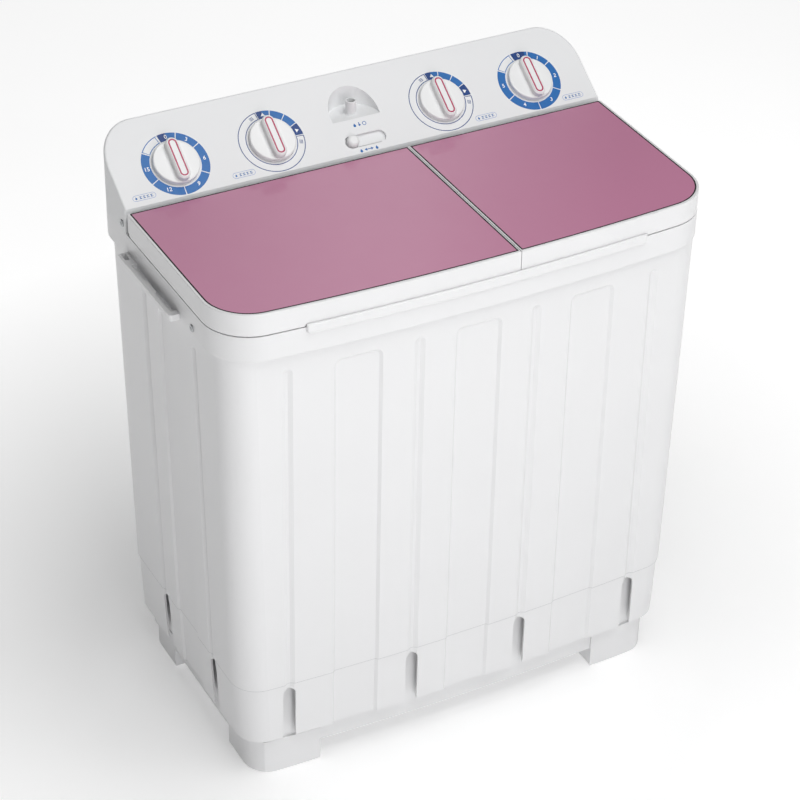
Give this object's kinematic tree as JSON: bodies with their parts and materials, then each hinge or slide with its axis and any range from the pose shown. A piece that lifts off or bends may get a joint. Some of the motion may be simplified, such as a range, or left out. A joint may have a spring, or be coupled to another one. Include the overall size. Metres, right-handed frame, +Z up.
{
  "type": "twin tub washer",
  "caption": "Twin tub washing machine: wash tub with pulsator and spin basket side by side under two hinged lids, with a sloping dial console behind.",
  "frame": {"origin": "on the floor under the centre of the machine's box", "axes": "+X to the user's right along the width, -Y towards the user standing in front, +Z up"},
  "size_m": [0.8, 0.458, 0.9033],
  "materials": {
    "body_white": "smooth moulded, satin gloss",
    "console_white": "smooth moulded, satin",
    "lid_white": "smooth moulded, satin gloss",
    "lid_pink": "flat coloured panel, glossy",
    "knob_white": "smooth",
    "pointer_pink": "smooth",
    "tub_grey": "moulded",
    "pulsator_white": "moulded",
    "basket_white": "moulded",
    "chassis_white": "moulded",
    "net_blue": "fine net",
    "back_grey": "moulded",
    "steel": "bright",
    "screw_steel": "zinc plated",
    "motor_steel": "painted",
    "casting": "cast",
    "rubber": "matte",
    "black_plastic": "moulded",
    "drain_grey": "moulded"
  },
  "bodies": {
    "root": {"base_skirt": "body_white", "cabinet": "body_white", "capacitor": "black_plastic", "chassis": "chassis_white", "console": "console_white", "drain_pipe": "drain_grey", "drain_selector_switch": "black_plastic", "drain_valve_body": "drain_grey", "drive_belt": "rubber", "inlet_pipe": "console_white", "inner_cover_pin": "steel", "lead_grommet": "black_plastic", "left_handle": "body_white", "lid_hinge_pins": "steel", "lid_switch": "black_plastic", "lint_filter_frame": "pulsator_white", "lint_filter_net": "net_blue", "motor_bracket": "motor_steel", "overflow_cover": "pulsator_white", "rear_cover": "back_grey", "rear_cover_screws": "screw_steel", "right_handle": "body_white", "rim_frame": "body_white", "shaft_bearings": "steel", "shaft_housing": "casting", "shaft_seal": "rubber", "side_screws": "screw_steel", "spin_motor": "motor_steel", "spin_motor_springs": "steel", "spin_timer_mechanism": "black_plastic", "spin_tub": "tub_grey", "wash_motor": "motor_steel", "wash_selector_switch": "black_plastic", "wash_timer_mechanism": "black_plastic", "wash_tub": "tub_grey"},
    "wash_lid": {"wash_lid_frame": "lid_white", "wash_lid_panel": "lid_pink"},
    "spin_lid": {"spin_lid_frame": "lid_white", "spin_lid_panel": "lid_pink"},
    "inner_cover": {"spin_inner_cover": "lid_white"},
    "wash_timer_dial": {"wash_timer_knob": "knob_white", "wash_timer_pointer": "pointer_pink"},
    "wash_selector_dial": {"wash_selector_knob": "knob_white", "wash_selector_pointer": "pointer_pink"},
    "drain_selector_dial": {"drain_selector_knob": "knob_white", "drain_selector_pointer": "pointer_pink"},
    "spin_timer_dial": {"spin_timer_knob": "knob_white", "spin_timer_pointer": "pointer_pink"},
    "water_slider": {"water_selector": "knob_white"},
    "pulsator_rotor": {"pulsator": "pulsator_white", "pulsator_screw": "screw_steel", "pulsator_shaft": "steel", "wash_pulley": "casting"},
    "motor_rotor": {"motor_pulley": "casting"},
    "spin_rotor": {"spin_basket": "basket_white", "spin_shaft": "steel", "brake_drum": "casting", "spin_motor_shaft": "steel"},
    "brake": {"brake_arm": "motor_steel"},
    "drain_plug": {"drain_valve_plug": "drain_grey"}
  },
  "joints": [
    {"name": "wash_lid_hinge", "type": "hinge", "parent": "root", "child": "wash_lid", "pos_m": [-0.1635, 0.096, 0.8135], "axis": [-1, 0, 0], "range_deg": [0, 98]},
    {"name": "spin_lid_hinge", "type": "hinge", "parent": "root", "child": "spin_lid", "pos_m": [0.2217, 0.096, 0.8135], "axis": [-1, 0, 0], "range_deg": [0, 98]},
    {"name": "inner_cover_hinge", "type": "hinge", "parent": "root", "child": "inner_cover", "pos_m": [0.205, 0.0975, 0.795], "axis": [-1, 0, 0], "range_deg": [0, 79]},
    {"name": "wash_timer_turn", "type": "hinge", "parent": "root", "child": "wash_timer_dial", "pos_m": [-0.288, 0.15614, 0.85644], "axis": [0, 0.5621, -0.8271], "range_deg": [0, 280]},
    {"name": "wash_selector_turn", "type": "hinge", "parent": "root", "child": "wash_selector_dial", "pos_m": [-0.138, 0.15614, 0.85644], "axis": [0, 0.5621, -0.8271], "range_deg": [0, 105]},
    {"name": "drain_selector_turn", "type": "hinge", "parent": "root", "child": "drain_selector_dial", "pos_m": [0.138, 0.15614, 0.85644], "axis": [0, 0.5621, -0.8271], "range_deg": [0, 105]},
    {"name": "spin_timer_turn", "type": "hinge", "parent": "root", "child": "spin_timer_dial", "pos_m": [0.288, 0.15614, 0.85644], "axis": [0, 0.5621, -0.8271], "range_deg": [0, 280]},
    {"name": "water_selector_slide", "type": "slide", "parent": "root", "child": "water_slider", "axis": [1, 0, 0], "range_m": [0, 0.042]},
    {"name": "pulsator_spin", "type": "hinge", "parent": "root", "child": "pulsator_rotor", "pos_m": [-0.155, -0.05, 0.217], "axis": [0, 0, 1], "continuous": true},
    {"name": "motor_spin", "type": "hinge", "parent": "root", "child": "motor_rotor", "pos_m": [-0.06, 0.06, 0.217], "axis": [0, 0, 1], "continuous": true},
    {"name": "basket_spin", "type": "hinge", "parent": "root", "child": "spin_rotor", "pos_m": [0.205, -0.052, 0.3], "axis": [0, 0, 1], "continuous": true},
    {"name": "brake_swing", "type": "hinge", "parent": "root", "child": "brake", "pos_m": [0.205, 0.024, 0.286], "axis": [0, 0, 1], "range_deg": [0, 0.8]},
    {"name": "drain_lift", "type": "slide", "parent": "root", "child": "drain_plug", "axis": [0, 0, 1], "range_m": [0, 0.0122]}
  ],
  "couplings": [
    {"joint": "inner_cover_hinge", "follows": "spin_lid_hinge", "ratio": 0.79592},
    {"joint": "brake_swing", "follows": "spin_lid_hinge", "ratio": 0.00765},
    {"joint": "motor_spin", "follows": "pulsator_spin", "ratio": 4.5},
    {"joint": "drain_lift", "follows": "drain_selector_turn", "m_per_rad": 0.006548}
  ]
}
